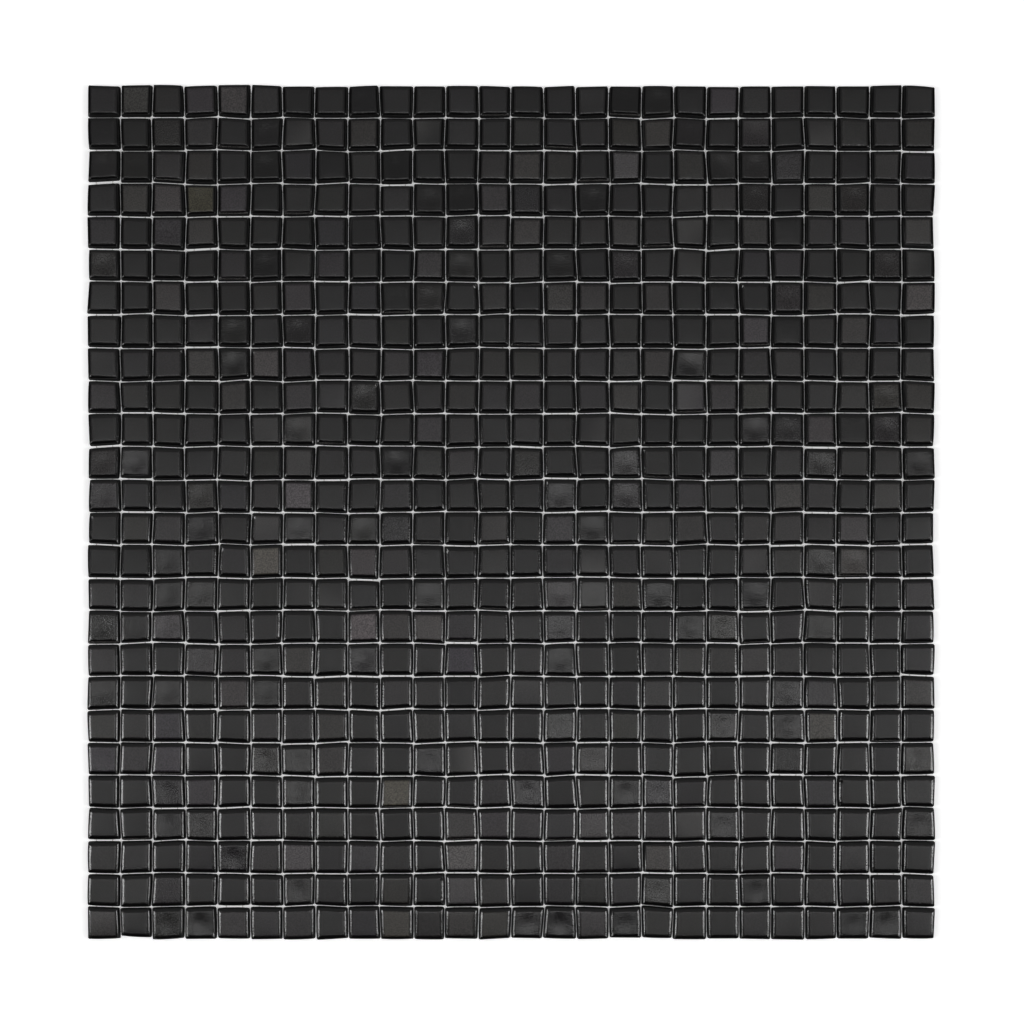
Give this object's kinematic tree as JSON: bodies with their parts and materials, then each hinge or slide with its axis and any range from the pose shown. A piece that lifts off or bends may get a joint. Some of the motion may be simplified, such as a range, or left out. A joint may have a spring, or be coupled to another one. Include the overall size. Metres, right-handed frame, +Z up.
{
  "type": "mosaic tile sheet",
  "caption": "Square sheet of small black glass mosaic tiles, laid in straight rows on a white glass-fibre backing net.",
  "frame": {"origin": "middle of the sheet, on the underside of the backing net, which rests on the floor", "axes": "+Z up out of the tiles' faces, +X along a row of tiles, +Y from the last row of tiles towards the first"},
  "size_m": [0.3328, 0.3354, 0.004],
  "materials": {
    "tile_glass": "opaque black glass, cut by hand, satin gloss",
    "backing_net": "white coated glass-fibre net"
  },
  "bodies": {
    "root": {"tile_row_01": "tile_glass", "tile_row_02": "tile_glass", "tile_row_03": "tile_glass", "tile_row_04": "tile_glass", "tile_row_05": "tile_glass", "tile_row_06": "tile_glass", "tile_row_07": "tile_glass", "tile_row_08": "tile_glass", "tile_row_09": "tile_glass", "tile_row_10": "tile_glass", "tile_row_11": "tile_glass", "tile_row_12": "tile_glass", "tile_row_13": "tile_glass", "tile_row_14": "tile_glass", "tile_row_15": "tile_glass", "tile_row_16": "tile_glass", "tile_row_17": "tile_glass", "tile_row_18": "tile_glass", "tile_row_19": "tile_glass", "tile_row_20": "tile_glass", "tile_row_21": "tile_glass", "tile_row_22": "tile_glass", "tile_row_23": "tile_glass", "tile_row_24": "tile_glass", "tile_row_25": "tile_glass", "tile_row_26": "tile_glass", "net_warp_strands": "backing_net", "net_weft_strands": "backing_net"}
  },
  "joints": []
}
